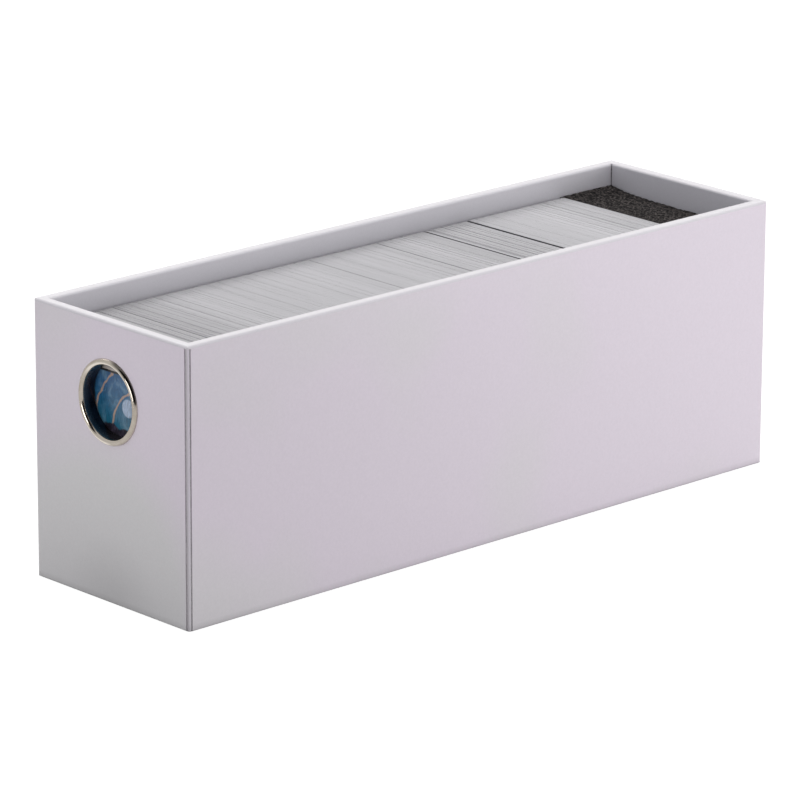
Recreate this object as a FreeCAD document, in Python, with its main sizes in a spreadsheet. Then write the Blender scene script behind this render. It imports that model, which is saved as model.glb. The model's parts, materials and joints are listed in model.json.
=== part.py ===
import FreeCAD, Part
import math
import os
import Sketcher

# A drawer for trading cards: a tray of grey board wrapped in coated paper, with a metal
# finger ring in its front, packs of cards standing in it and a foam block behind them.
# Millimetres. The origin is under the middle of the base, the ring faces -Y and Z is up.

Vector = FreeCAD.Vector
UP = Vector(0, 0, 1)

DIMENSIONS = [
    ("outer_width", 80.0, "drawer, outside, across the front"),
    ("outer_length", 279.5, "drawer, outside, front to back"),
    ("outer_height", 100.5, "drawer, outside, table to rim"),
    ("board_thickness", 3.4, "grey board of the four walls"),
    ("base_thickness", 3.4, "grey board of the base"),
    ("paper_thickness", 0.3, "cover and lining sheets"),
    ("rim_radius", 1.1, "roundness of the covered rim"),
    ("corner_radius", 0.7, "roundness of the covered corners and of the fold under the base"),
    ("turn_in_margin", 3.45, "between the turned-in cover and the hole for the finger ring"),
    ("fold_flap", 1.6, "cover turned under the base"),
    ("rim_band", 1.1, "unbroken cover between the corner edging and the rim"),
    ("edging_reach", 0.85, "edging of the corner seam, from the corner along each wall"),
    ("groove_width", 0.7, "bare line between that edging and the cover"),
    ("turn_in_gap", 0.3, "between the turned-in covers, at the inside corners, each side"),
    ("ring_offset", -0.9, "finger ring, to the right of the middle"),
    ("ring_depth", 28.6, "finger ring, centre below the rim"),
    ("ring_bore_radius", 12.9, "finger ring, inside"),
    ("ring_flange_radius", 15.2, "finger ring, outside of the front bead"),
    ("bead_height", 1.2, "front bead, proud of the cover"),
    ("bead_radius", 1.0, "roundness of the front bead"),
    ("ring_gauge", 0.4, "metal of the ring's barrel"),
    ("ring_clearance", 0.15, "barrel in its hole, each side"),
    ("washer_radius", 15.6, "rear washer, outside"),
    ("washer_thickness", 0.3, "rear washer"),
    ("curl_reach", 1.1, "barrel's end, rolled out over the washer"),
    ("curl_height", 0.4, "barrel's end, behind the washer"),
    ("curl_radius", 0.15, "roundness of the rolled end"),
    ("card_width", 63.5, "one card"),
    ("card_height", 88.9, "one card"),
    ("card_radius", 3.0, "one card, corners"),
    ("card_thickness", 0.31, "one card"),
    ("card_side_gap", 0.6, "left wall to the cards"),
    ("card_front_gap", 0.3, "rolled end of the ring to the first card"),
    ("pack_gap", 0.4, "between neighbouring packs, and before the foam"),
    ("foam_thickness", 27.6, "foam block, front to back"),
    ("foam_drop", 0.1, "foam block, top below the tops of the cards"),
    ("foam_gap", 0.3, "foam block to the walls"),
]

# How many cards stand in each pack, from the front of the drawer to the foam.
CARDS_IN_PACKS = [76, 77, 77, 74, 64, 107, 77, 70, 78, 80]

WALL = "(sizes.board_thickness + 2 * sizes.paper_thickness)"
FLOOR = "(sizes.base_thickness + 2 * sizes.paper_thickness)"
RING_HOLE = "(sizes.ring_bore_radius + sizes.ring_gauge + sizes.ring_clearance)"
RING_HEIGHT = "(sizes.outer_height - sizes.ring_depth)"
RING_BACK = f"({WALL} + sizes.washer_thickness + sizes.curl_height)"
TURN_IN_DEPTH = f"(sizes.ring_depth - {RING_HOLE} - sizes.turn_in_margin)"
CARDS_FRONT = f"({RING_BACK} + sizes.card_front_gap)"
FOAM_FRONT = f"(sizes.outer_length - {WALL} - sizes.foam_gap - sizes.foam_thickness)"

# Lengths of cuts, which end well outside what they cut.
PAST_WALL = f"(4 * {WALL})"
PAST_HEIGHT = "(4 * sizes.outer_height)"

# Two points or directions closer than this are the same.
NEAR = 0.001

# Each wall is drawn lying along X with its outer face at Y = 0 and its inside towards +Y,
# then turned about Z and moved to its side of the drawer. The cover goes all round and its
# two ends meet at one corner, so two walls have a seam: +1 at their right end, -1 at the left.
WALLS = {
    "front": {"span": "outer_width", "turn": 0, "x": "0", "y": "-sizes.outer_length / 2", "seam": 1},
    "right": {"span": "outer_length", "turn": 90, "x": "sizes.outer_width / 2", "y": "0", "seam": -1},
    "back": {"span": "outer_width", "turn": 180, "x": "0", "y": "sizes.outer_length / 2", "seam": 0},
    "left": {"span": "outer_length", "turn": 270, "x": "-sizes.outer_width / 2", "y": "0", "seam": 0},
}

doc = FreeCAD.newDocument("card_drawer")
sheet = doc.addObject("Spreadsheet::Sheet", "sizes")
nodes = []


def fill_sheet():
    """Write each dimension as a plain number with an alias."""
    for row, (alias, number, meaning) in enumerate(DIMENSIONS, start=1):
        sheet.set(f"A{row}", meaning)
        sheet.set(f"B{row}", str(number))
        sheet.setAlias(f"B{row}", alias)
    doc.recompute()


def size(alias):
    """A dimension as a number, for what an expression can't hold."""
    return float(sheet.get(alias))


def bind(thing, **expressions):
    """Tie properties to expressions; Base_x stands for Placement.Base.x."""
    for name, text in expressions.items():
        path = name.replace("Base_", "Placement.Base.")
        thing.setExpression(path, text)


def keep(thing, label):
    """Make a finished piece a node of the drawer."""
    thing.Label = label
    nodes.append(thing)
    return thing


def new_body(name, turn=0, x="0", y="0", z="0"):
    """An empty body, turned about Z and placed by expressions."""
    body = doc.addObject("PartDesign::Body", name)
    body.Placement.Rotation = FreeCAD.Rotation(UP, turn)
    bind(body, Base_x=x, Base_y=y, Base_z=z)
    return keep(body, name)


def new_sketch(body, name, role):
    """A sketch on one of the body's own origin planes."""
    plane = next(part for part in body.Origin.OriginFeatures if part.Role == role)
    sketch = body.newObject("Sketcher::SketchObject", name)
    sketch.AttachmentSupport = [(plane, "")]
    sketch.MapMode = "FlatFace"
    return sketch


def fix_point(sketch, geometry, position, x, y):
    """Hold a sketch point at two expressions, measured from the origin."""
    point = sketch.getPoint(geometry, position)
    for kind, now, text in (("DistanceX", point.x, x), ("DistanceY", point.y, y)):
        index = sketch.addConstraint(Sketcher.Constraint(kind, -1, 1, geometry, position, now))
        sketch.setExpression(f"Constraints[{index}]", text)


def fix_radius(sketch, geometry, radius):
    """Hold the radius of a circle or an arc at an expression."""
    now = sketch.Geometry[geometry].Radius
    index = sketch.addConstraint(Sketcher.Constraint("Radius", geometry, now))
    sketch.setExpression(f"Constraints[{index}]", radius)


def draw_loop(sketch, corners):
    """A closed loop of straight lines through corners given as pairs of expressions."""
    first = sketch.GeometryCount
    count = len(corners)
    angles = [2 * math.pi * i / count for i in range(count)]
    start = [Vector(math.cos(angle), math.sin(angle), 0) for angle in angles]
    for i in range(count):
        sketch.addGeometry(Part.LineSegment(start[i], start[(i + 1) % count]), False)
    for i in range(count):
        following = first + (i + 1) % count
        sketch.addConstraint(Sketcher.Constraint("Coincident", first + i, 2, following, 1))
        fix_point(sketch, first + i, 1, *corners[i])


def draw_box(sketch, left, right, bottom, top):
    """A rectangle between four expressions."""
    draw_loop(sketch, [(left, bottom), (right, bottom), (right, top), (left, top)])


def draw_circle(sketch, x, y, radius):
    """A circle whose centre and radius are expressions."""
    circle = sketch.addGeometry(Part.Circle(Vector(), UP, 1.0), False)
    fix_point(sketch, circle, 3, x, y)
    fix_radius(sketch, circle, radius)


def pad(body, sketch, length, midplane=False):
    """Extrude a sketch, from its plane or evenly to both sides."""
    feature = body.newObject("PartDesign::Pad", "pad")
    feature.Profile = sketch
    feature.Midplane = midplane
    bind(feature, Length=length)
    doc.recompute()
    return feature


def pocket(body, sketch, length):
    """Cut a sketch out of the body, evenly to both sides of its plane."""
    before = body.Shape.Volume
    feature = body.newObject("PartDesign::Pocket", "pocket")
    feature.Profile = sketch
    feature.Midplane = True
    bind(feature, Length=length)
    doc.recompute()
    if not body.Shape.Volume < before:
        raise RuntimeError(f"a pocket of {body.Label} cuts nothing")
    return feature


def straight_edges(shape, direction, spots):
    """Names of the edges along an axis that pass through the given points of the other two axes."""
    names = []
    for number, edge in enumerate(shape.Edges, start=1):
        if not isinstance(edge.Curve, Part.Line):
            continue
        if edge.Curve.Direction.cross(direction).Length > NEAR:
            continue
        middle = edge.CenterOfMass
        across = [middle[axis] for axis in range(3) if not direction[axis]]
        if any(math.dist(across, spot) < NEAR for spot in spots):
            names.append(f"Edge{number}")
    return names


def round_edges(body, direction, radius, spots):
    """Round the straight edges of a body that run along a direction through the given spots."""
    tip = body.Tip
    feature = body.newObject("PartDesign::Fillet", "fillet")
    # the body's own frame is the tip's, before the body is placed
    feature.Base = (tip, straight_edges(tip.Shape, direction, spots))
    bind(feature, Radius=radius)
    doc.recompute()


def draw_corner_wedge(sketch, span, face):
    """What lies outside the rounded corner at the right end of a wall, up to the mitre.

    The wall's outer face lies `face` inside the drawer's outside; span and face are aliases.
    """
    slant = math.sqrt(0.5)
    inset = f"sizes.{face}" if face else "0"
    radius = f"(sizes.corner_radius - {inset})"
    axis = f"(sizes.{span} / 2 - sizes.corner_radius)"
    # an arc from under its centre to the mitre, drawn in place so that it bends the right way
    inside = Vector(size(span) / 2 - size("corner_radius"), size("corner_radius"), 0)
    circle = Part.Circle(inside, UP, size("corner_radius") - (size(face) if face else 0))
    shape = Part.ArcOfCircle(circle, -math.pi / 2, -math.pi / 4)
    arc = sketch.addGeometry(shape, False)
    tip = inside + Vector(size("board_thickness"), -size("board_thickness"), 0)
    slope = sketch.addGeometry(Part.LineSegment(shape.EndPoint, tip), False)
    back = sketch.addGeometry(Part.LineSegment(tip, shape.StartPoint), False)
    sketch.addConstraint(Sketcher.Constraint("Coincident", arc, 2, slope, 1))
    sketch.addConstraint(Sketcher.Constraint("Coincident", slope, 2, back, 1))
    sketch.addConstraint(Sketcher.Constraint("Coincident", back, 2, arc, 1))
    fix_point(sketch, arc, 3, axis, "sizes.corner_radius")
    fix_radius(sketch, arc, radius)
    for position, x in ((1, axis), (2, f"{axis} + {slant} * {radius}")):
        now = sketch.getPoint(arc, position).x
        index = sketch.addConstraint(Sketcher.Constraint("DistanceX", -1, 1, arc, position, now))
        sketch.setExpression(f"Constraints[{index}]", x)
    fix_point(sketch, slope, 2, f"sizes.{span} / 2 + {WALL}", f"-{WALL}")


def mirror_ends(body, cuts):
    """Repeat the cuts of the right end at the left end."""
    before = body.Shape.Volume
    feature = body.newObject("PartDesign::Mirrored", "mirrored")
    feature.Originals = cuts
    plane = next(part for part in body.Origin.OriginFeatures if part.Role == "YZ_Plane")
    feature.MirrorPlane = (plane, [""])
    body.Tip = feature
    doc.recompute()
    if not body.Shape.Volume < before:
        raise RuntimeError(f"the left end of {body.Label} is not cut")


def mitre_cuts(body, span, face):
    """Cut the right end of a wall at 45 degrees and round its half of the corner."""
    half = f"sizes.{span} / 2"
    past_inside = f"2 * {WALL}"
    mitre = new_sketch(body, "mitre", "XY_Plane")
    corners = [
        (f"{half} + {WALL}", f"-{WALL}"),
        (f"{half} + {WALL}", past_inside),
        (f"{half} - {past_inside}", past_inside),
    ]
    draw_loop(mitre, corners)
    cuts = [pocket(body, mitre, PAST_HEIGHT)]
    wedge = new_sketch(body, "corner_wedge", "XY_Plane")
    draw_corner_wedge(wedge, span, face)
    cuts.append(pocket(body, wedge, PAST_HEIGHT))
    return cuts


def ring_hole(body):
    """The hole through a front piece that the barrel of the finger ring passes."""
    sketch = new_sketch(body, "ring_hole", "XZ_Plane")
    draw_circle(sketch, "sizes.ring_offset", RING_HEIGHT, RING_HOLE)
    pocket(body, sketch, PAST_WALL)


def wall_board(side, wall):
    """Grey board of one wall, rounded along its rim and its bottom edge and mitred at both ends."""
    body = new_body(f"{side}_board", wall["turn"], wall["x"], wall["y"])
    profile = new_sketch(body, "profile", "YZ_Plane")
    outer = "sizes.paper_thickness"
    inner = f"{outer} + sizes.board_thickness"
    draw_box(profile, outer, inner, outer, f"sizes.outer_height - {outer}")
    pad(body, profile, f"sizes.{wall['span']}", midplane=True)
    low = size("paper_thickness")
    high = size("outer_height") - low
    deep = low + size("board_thickness")
    along = Vector(1, 0, 0)
    round_edges(body, along, "sizes.rim_radius - sizes.paper_thickness", [(low, high), (deep, high)])
    round_edges(body, along, "sizes.corner_radius - sizes.paper_thickness", [(low, low)])
    mirror_ends(body, mitre_cuts(body, wall["span"], "paper_thickness"))
    if side == "front":
        ring_hole(body)


def wall_cover(side, wall):
    """Cover sheet of one wall: up the outside, over the rim and a little way down the inside.

    Its foot is turned under the base. Below the rim band it stops short of the seam's corner,
    which leaves room for the edging and a bare line beside it.
    """
    body = new_body(f"{side}_cover", wall["turn"], wall["x"], wall["y"])
    profile = new_sketch(body, "profile", "YZ_Plane")
    sheet_in = "sizes.paper_thickness"
    turned = f"{WALL} - {sheet_in}"
    under_rim = f"sizes.outer_height - {sheet_in}"
    turn_in_end = f"sizes.outer_height - {TURN_IN_DEPTH}"
    corners = [
        ("sizes.fold_flap", "0"),
        ("0", "0"),
        ("0", "sizes.outer_height"),
        (WALL, "sizes.outer_height"),
        (WALL, turn_in_end),
        (turned, turn_in_end),
        (turned, under_rim),
        (sheet_in, under_rim),
        (sheet_in, sheet_in),
        ("sizes.fold_flap", sheet_in),
    ]
    draw_loop(profile, corners)
    pad(body, profile, f"sizes.{wall['span']}", midplane=True)
    thin = size("paper_thickness")
    high = size("outer_height")
    deep = size("board_thickness") + 2 * thin
    along = Vector(1, 0, 0)
    outer_rim = [(0, high), (deep, high)]
    inner_rim = [(thin, high - thin), (deep - thin, high - thin)]
    round_edges(body, along, "sizes.rim_radius", outer_rim)
    round_edges(body, along, "sizes.rim_radius - sizes.paper_thickness", inner_rim)
    round_edges(body, along, "sizes.corner_radius", [(0, 0)])
    round_edges(body, along, "sizes.corner_radius - sizes.paper_thickness", [(thin, thin)])
    half = f"sizes.{wall['span']} / 2"
    cuts = mitre_cuts(body, wall["span"], None)
    gap = new_sketch(body, "turn_in_gap", "XY_Plane")
    draw_box(gap, f"{half} - {WALL} - sizes.turn_in_gap", f"{half} + {WALL}", turned, f"2 * {WALL}")
    cuts.append(pocket(body, gap, PAST_HEIGHT))
    mirror_ends(body, cuts)
    if wall["seam"]:
        notch = new_sketch(body, "notch", "XZ_Plane")
        near = f"{wall['seam']} * ({half} - sizes.edging_reach - sizes.groove_width)"
        far = f"{wall['seam']} * ({half} + {WALL})"
        draw_box(notch, near, far, f"-{WALL}", "sizes.outer_height - sizes.rim_band")
        pocket(body, notch, "2 * sizes.fold_flap")
    if side == "front":
        ring_hole(body)


def seam_edging():
    """Strip of cover paper round the front right corner, from the base to the rim band."""
    body = new_body("seam_edging", 90, "sizes.outer_width / 2", "-sizes.outer_length / 2")
    plan = new_sketch(body, "plan", "XY_Plane")
    thin = "sizes.paper_thickness"
    reach = "sizes.edging_reach"
    draw_loop(plan, [("0", "0"), (reach, "0"), (reach, thin), (thin, thin), (thin, reach), ("0", reach)])
    pad(body, plan, f"sizes.outer_height - sizes.rim_band - {thin}")
    bind(body, Base_z=thin)
    fold = size("paper_thickness")
    round_edges(body, UP, "sizes.corner_radius", [(0, 0)])
    round_edges(body, UP, f"sizes.corner_radius - {thin}", [(fold, fold)])


def plate(name, x, y, z, length, width, height):
    """A flat sheet or block between its lowest corner and three sizes, all expressions."""
    box = doc.addObject("Part::Box", name)
    bind(box, Base_x=x, Base_y=y, Base_z=z, Length=length, Width=width, Height=height)
    return box


def base_pieces():
    """Base board, the cover sheet under it and the lining on it."""
    paper = "sizes.paper_thickness"
    for name, inset, bottom, thickness in (
        ("base_cover", "sizes.fold_flap", "0", paper),
        ("base_board", f"({paper} + sizes.board_thickness)", paper, "sizes.base_thickness"),
        ("floor_lining", f"({paper} + sizes.board_thickness)", f"{paper} + sizes.base_thickness", paper),
    ):
        x = f"-sizes.outer_width / 2 + {inset}"
        y = f"-sizes.outer_length / 2 + {inset}"
        length = f"sizes.outer_width - 2 * {inset}"
        width = f"sizes.outer_length - 2 * {inset}"
        keep(plate(name, x, y, bottom, length, width, thickness), name)


def wall_linings():
    """Inner paper of the walls, from the floor to the edge of the turned-in cover.

    The front and back sheets reach into the corners and the side sheets stand between them.
    """
    paper = "sizes.paper_thickness"
    height = f"sizes.outer_height - {TURN_IN_DEPTH} - {FLOOR}"
    across = f"sizes.outer_width - 2 * ({paper} + sizes.board_thickness)"
    along = f"sizes.outer_length - 2 * {WALL}"
    left = f"-sizes.outer_width / 2 + {paper} + sizes.board_thickness"
    front = f"-sizes.outer_length / 2 + {WALL}"
    keep(plate("left_lining", left, front, FLOOR, paper, along, height), "left_lining")
    right = f"sizes.outer_width / 2 - {WALL}"
    keep(plate("right_lining", right, front, FLOOR, paper, along, height), "right_lining")
    back = f"sizes.outer_length / 2 - {WALL}"
    keep(plate("back_lining", left, back, FLOOR, across, paper, height), "back_lining")
    whole = plate("front_lining_sheet", left, f"{front} - {paper}", FLOOR, across, paper, height)
    hole = rod("front_lining_hole", RING_HOLE, "-sizes.outer_length / 2", PAST_WALL)
    keep(cut("front_lining", whole, hole), "front_lining")


def rod(name, radius, y, length):
    """A cylinder on the finger ring's axis, from y towards the back."""
    cylinder = doc.addObject("Part::Cylinder", name)
    cylinder.Placement.Rotation = FreeCAD.Rotation(Vector(1, 0, 0), -90)
    bind(cylinder, Base_x="sizes.ring_offset", Base_y=y, Base_z=RING_HEIGHT)
    bind(cylinder, Radius=radius, Height=length)
    return cylinder


def cut(name, whole, tool):
    """One piece less another."""
    result = doc.addObject("Part::Cut", name)
    result.Base = whole
    result.Tool = tool
    return result


def pull_ring():
    """Finger ring turned about the Y axis: a round front bead, a barrel and a rolled end."""
    body = new_body("pull_ring", 0, "sizes.ring_offset", "-sizes.outer_length / 2", RING_HEIGHT)
    section = new_sketch(body, "section", "XY_Plane")
    bore = "sizes.ring_bore_radius"
    barrel = f"{bore} + sizes.ring_gauge"
    curl = f"{barrel} + sizes.curl_reach"
    washer_back = f"{WALL} + sizes.washer_thickness"
    corners = [
        (bore, "-sizes.bead_height"),
        ("sizes.ring_flange_radius", "-sizes.bead_height"),
        ("sizes.ring_flange_radius", "0"),
        (barrel, "0"),
        (barrel, washer_back),
        (curl, washer_back),
        (curl, RING_BACK),
        (bore, RING_BACK),
    ]
    draw_loop(section, corners)
    ring = body.newObject("PartDesign::Revolution", "revolution")
    ring.Profile = section
    ring.ReferenceAxis = (section, ["V_Axis"])
    ring.Angle = 360
    doc.recompute()
    front = -size("bead_height")
    wall = size("board_thickness") + 2 * size("paper_thickness")
    rear = wall + size("washer_thickness") + size("curl_height")
    bead = [(front, size("ring_bore_radius")), (front, size("ring_flange_radius"))]
    rolled = [(rear, size("ring_bore_radius") + size("ring_gauge") + size("curl_reach"))]
    round_rings(body, "sizes.bead_radius", bead)
    round_rings(body, "sizes.curl_radius", rolled)


def round_rings(body, radius, circles):
    """Round the circular edges about the Y axis that have a given place along it and radius."""
    tip = body.Tip
    names = []
    for number, edge in enumerate(tip.Shape.Edges, start=1):
        if isinstance(edge.Curve, Part.Circle):
            found = (edge.Curve.Center.y, edge.Curve.Radius)
            if any(math.dist(found, circle) < NEAR for circle in circles):
                names.append(f"Edge{number}")
    feature = body.newObject("PartDesign::Fillet", "fillet")
    feature.Base = (tip, names)
    bind(feature, Radius=radius)
    doc.recompute()


def ring_washer():
    """Flat washer behind the front wall, which the barrel's end is rolled over."""
    inside = f"-sizes.outer_length / 2 + {WALL}"
    disc = rod("ring_washer_disc", "sizes.washer_radius", inside, "sizes.washer_thickness")
    hole = rod("ring_washer_hole", RING_HOLE, "-sizes.outer_length / 2", PAST_WALL)
    keep(cut("ring_washer", disc, hole), "ring_washer")


def card_block(name, front, thickness):
    """Cards standing together, seen from the front, with the corners that cards have."""
    left = f"-sizes.outer_width / 2 + {WALL} + sizes.card_side_gap"
    y = f"-sizes.outer_length / 2 + {front} + {thickness}"
    body = new_body(name, 0, left, y, FLOOR)
    face = new_sketch(body, "face", "XZ_Plane")
    draw_box(face, "0", "sizes.card_width", "0", "sizes.card_height")
    pad(body, face, thickness)
    width = size("card_width")
    height = size("card_height")
    corners = [(0, 0), (width, 0), (0, height), (width, height)]
    deep = Vector(0, 1, 0)
    round_edges(body, deep, "sizes.card_radius", corners)


def card_packs():
    """The front card and the packs behind it, which share the room up to the foam by their cards."""
    card_block("face_card", CARDS_FRONT, "sizes.card_thickness")
    start = f"({CARDS_FRONT} + sizes.card_thickness)"
    room = f"({FOAM_FRONT} - {start} - {len(CARDS_IN_PACKS)} * sizes.pack_gap)"
    cards = sum(CARDS_IN_PACKS)
    passed = 0
    for number, count in enumerate(CARDS_IN_PACKS, start=1):
        front = f"{start} + {number - 1} * sizes.pack_gap + {room} * {passed} / {cards}"
        card_block(f"card_pack_{number}", front, f"{room} * {count} / {cards}")
        passed += count


def foam_block():
    """Foam that holds the cards up from behind."""
    x = f"-sizes.outer_width / 2 + {WALL} + sizes.foam_gap"
    y = f"-sizes.outer_length / 2 + {FOAM_FRONT}"
    width = f"sizes.outer_width - 2 * {WALL} - 2 * sizes.foam_gap"
    height = "sizes.card_height - sizes.foam_drop"
    keep(plate("foam_block", x, y, FLOOR, width, "sizes.foam_thickness", height), "foam_block")


def check_and_write():
    """Stop at any piece that failed, then write each node to its own file."""
    doc.recompute()
    for thing in doc.Objects:
        if {"Invalid", "Error"} & set(thing.State):
            raise RuntimeError(f"{thing.Label} is {thing.State}")
    os.makedirs("parts", exist_ok=True)
    for node in nodes:
        shape = node.Shape
        if shape.isNull() or not shape.isValid() or not shape.Solids:
            raise RuntimeError(f"{node.Label} has no valid solid")
        shape.exportStep(f"parts/{node.Label}.step")
        box = shape.BoundBox
        low = f"{box.XMin:8.2f} {box.YMin:8.2f} {box.ZMin:8.2f}"
        high = f"{box.XMax:8.2f} {box.YMax:8.2f} {box.ZMax:8.2f}"
        print(f"{node.Label:22s} {len(shape.Solids)} {shape.Volume:10.1f} {low} {high}")


def main():
    fill_sheet()
    base_pieces()
    for side, wall in WALLS.items():
        wall_board(side, wall)
        wall_cover(side, wall)
    wall_linings()
    seam_edging()
    pull_ring()
    ring_washer()
    card_packs()
    foam_block()
    check_and_write()


main()
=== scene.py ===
import json
import math
import random

import bpy
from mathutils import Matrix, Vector, noise


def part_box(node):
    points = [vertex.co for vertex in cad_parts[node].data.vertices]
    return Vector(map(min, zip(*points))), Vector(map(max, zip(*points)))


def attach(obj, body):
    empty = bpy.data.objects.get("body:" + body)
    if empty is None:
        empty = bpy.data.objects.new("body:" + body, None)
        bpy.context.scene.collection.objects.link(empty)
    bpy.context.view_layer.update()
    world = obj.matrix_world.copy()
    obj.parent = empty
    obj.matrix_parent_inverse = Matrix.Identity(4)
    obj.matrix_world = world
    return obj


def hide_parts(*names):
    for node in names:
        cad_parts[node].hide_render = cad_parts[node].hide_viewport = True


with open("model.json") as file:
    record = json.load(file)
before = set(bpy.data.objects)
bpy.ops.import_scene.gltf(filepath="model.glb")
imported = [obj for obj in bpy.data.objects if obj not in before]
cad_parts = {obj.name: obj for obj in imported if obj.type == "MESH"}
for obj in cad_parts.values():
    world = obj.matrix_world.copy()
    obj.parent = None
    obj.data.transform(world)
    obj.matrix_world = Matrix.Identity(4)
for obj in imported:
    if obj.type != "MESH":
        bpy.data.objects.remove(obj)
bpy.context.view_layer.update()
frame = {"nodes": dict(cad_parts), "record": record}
nodes = frame["nodes"]

# Everything is drawn in millimetres and kept in metres.
mm = 0.001

# Most of a noise lies between these.
noiseLow, noiseHigh = 0.3, 0.7


def toLinear(hexColour):
    # sRGB hex to the linear colour that a shader takes
    channels = [int(hexColour[place:place + 2], 16) / 255 for place in (1, 3, 5)]
    linear = [c / 12.92 if c <= 0.04045 else ((c + 0.055) / 1.055) ** 2.4 for c in channels]
    return (*linear, 1.0)


def perMetre(size):
    # scale of a pattern whose features are this many millimetres apart
    return 1.0 / (size * mm)


def newMaterial(name):
    material = bpy.data.materials.new(name)
    material.use_nodes = True
    material.node_tree.nodes.clear()
    return material, material.node_tree


def addNode(tree, kind, inputs=None, out=0, stops=(), **settings):
    # a node with its settings, values, hex colours and links; gives back one of its outputs
    node = tree.nodes.new("ShaderNode" + kind)
    for name, value in settings.items():
        setattr(node, name, value)
    for name, value in (inputs or {}).items():
        if isinstance(value, bpy.types.NodeSocket):
            tree.links.new(value, node.inputs[name])
        else:
            node.inputs[name].default_value = toLinear(value) if isinstance(value, str) else value
    if stops:
        elements = node.color_ramp.elements
        while len(elements) < len(stops):
            elements.new(1.0)
        for element, (place, tone) in zip(elements, stops):
            element.position = place
            element.color = toLinear(tone)
    return node.outputs[out] if node.outputs else None


def finishPiece(piece, body, replaced):
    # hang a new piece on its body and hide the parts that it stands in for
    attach(piece, body)
    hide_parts(*replaced)


def meshPiece(name, points, faces, materials, faceMaterials=None, smooth=False):
    # a mesh from points in millimetres
    mesh = bpy.data.meshes.new(name)
    mesh.from_pydata([(x * mm, y * mm, z * mm) for x, y, z in points], [], faces)
    for material in materials:
        mesh.materials.append(material)
    if faceMaterials:
        mesh.polygons.foreach_set("material_index", faceMaterials)
    if smooth:
        mesh.shade_smooth()
    mesh.update()
    piece = bpy.data.objects.new(name, mesh)
    bpy.context.scene.collection.objects.link(piece)
    return piece


print("stage: finishes")

# The space between the walls up to the rim, and far enough into them to take in the paper
# that is turned down inside.
paperRoom = Vector((0.4, 0.4, 0.0)) * mm
liningLow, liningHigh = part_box("floor_lining")
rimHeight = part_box("front_cover")[1].z
trayInside = (liningLow - paperRoom, Vector((liningHigh.x, liningHigh.y, rimHeight)) + paperRoom)

# Coated art paper with a pearl lacquer, wrapped wet round grey board and rolled flat: satin,
# nearly even, drifting from plain grey to lilac, with a faint orange peel. Millimetres.
pearlPaper = {
    "lilac": "#D8CFD8",
    "plain": "#D2D0D0",
    # plain paper inside the tray, in a cooler, darker grey that is partly painted shade
    "inside": "#CDCBCF",
    "rim": "#CFCED1",
    # painted shade on the roll of the paper over the board's edge, darker than the rim's top
    "shadedRoll": "#C6C3C7",
    "topDepth": (0.4, 0.1),  # under the rim: where the tone of its top begins, and where it is full
    "rollDepth": (1.3, 0.8),  # the same for the painted shade on the roll of the paper over the board's edge
    "foot": (2.6, 0.78),  # painted shade along the foot: how high it reaches, and its level at the very bottom
    # painted shade at the middle of the front's foot: its centre
    "paintedFrontShade": (0.0, -140.0, 1.0),
    "paintedFrontShadeReach": (4.0, 24.0),  # full within the first, none from the second
    "paintedFrontShadeLevel": 0.89,
    "driftSize": 60.0,
    "driftLean": 0.5,  # more lilac towards the back, for each metre
    "driftSpan": (0.15, 0.5),  # where the lilac begins, and where it is full
    "plainSpot": (-5.0, -140.0, 5.0),
    "plainReach": (40.0, 58.0),  # no lilac within the first, all of it from the second
    "fibreSize": 0.9,
    "fibreDepth": 0.006,
    "fibreShade": (0.975, 1.02),
    "wrapSize": 22.0,
    "wrapDepth": 0.05,
    "roughness": (0.36, 0.44),
    "bareRoughness": 0.62,
    "coat": 0.25,
    "coatRoughness": 0.28,
}

# The strip of the same paper down the corner, a little greyer, with painted shade on its front beside the
# groove: millimetres across from the middle.
edgingStrip = {
    "lilac": "#CFC8D0",
    "plain": "#CCC9CB",
    # painted shade beside the groove at the corner
    "grooveShade": "#AFA9AE",
    "grooveShadeAcross": (39.45, 39.8),
}


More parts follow.
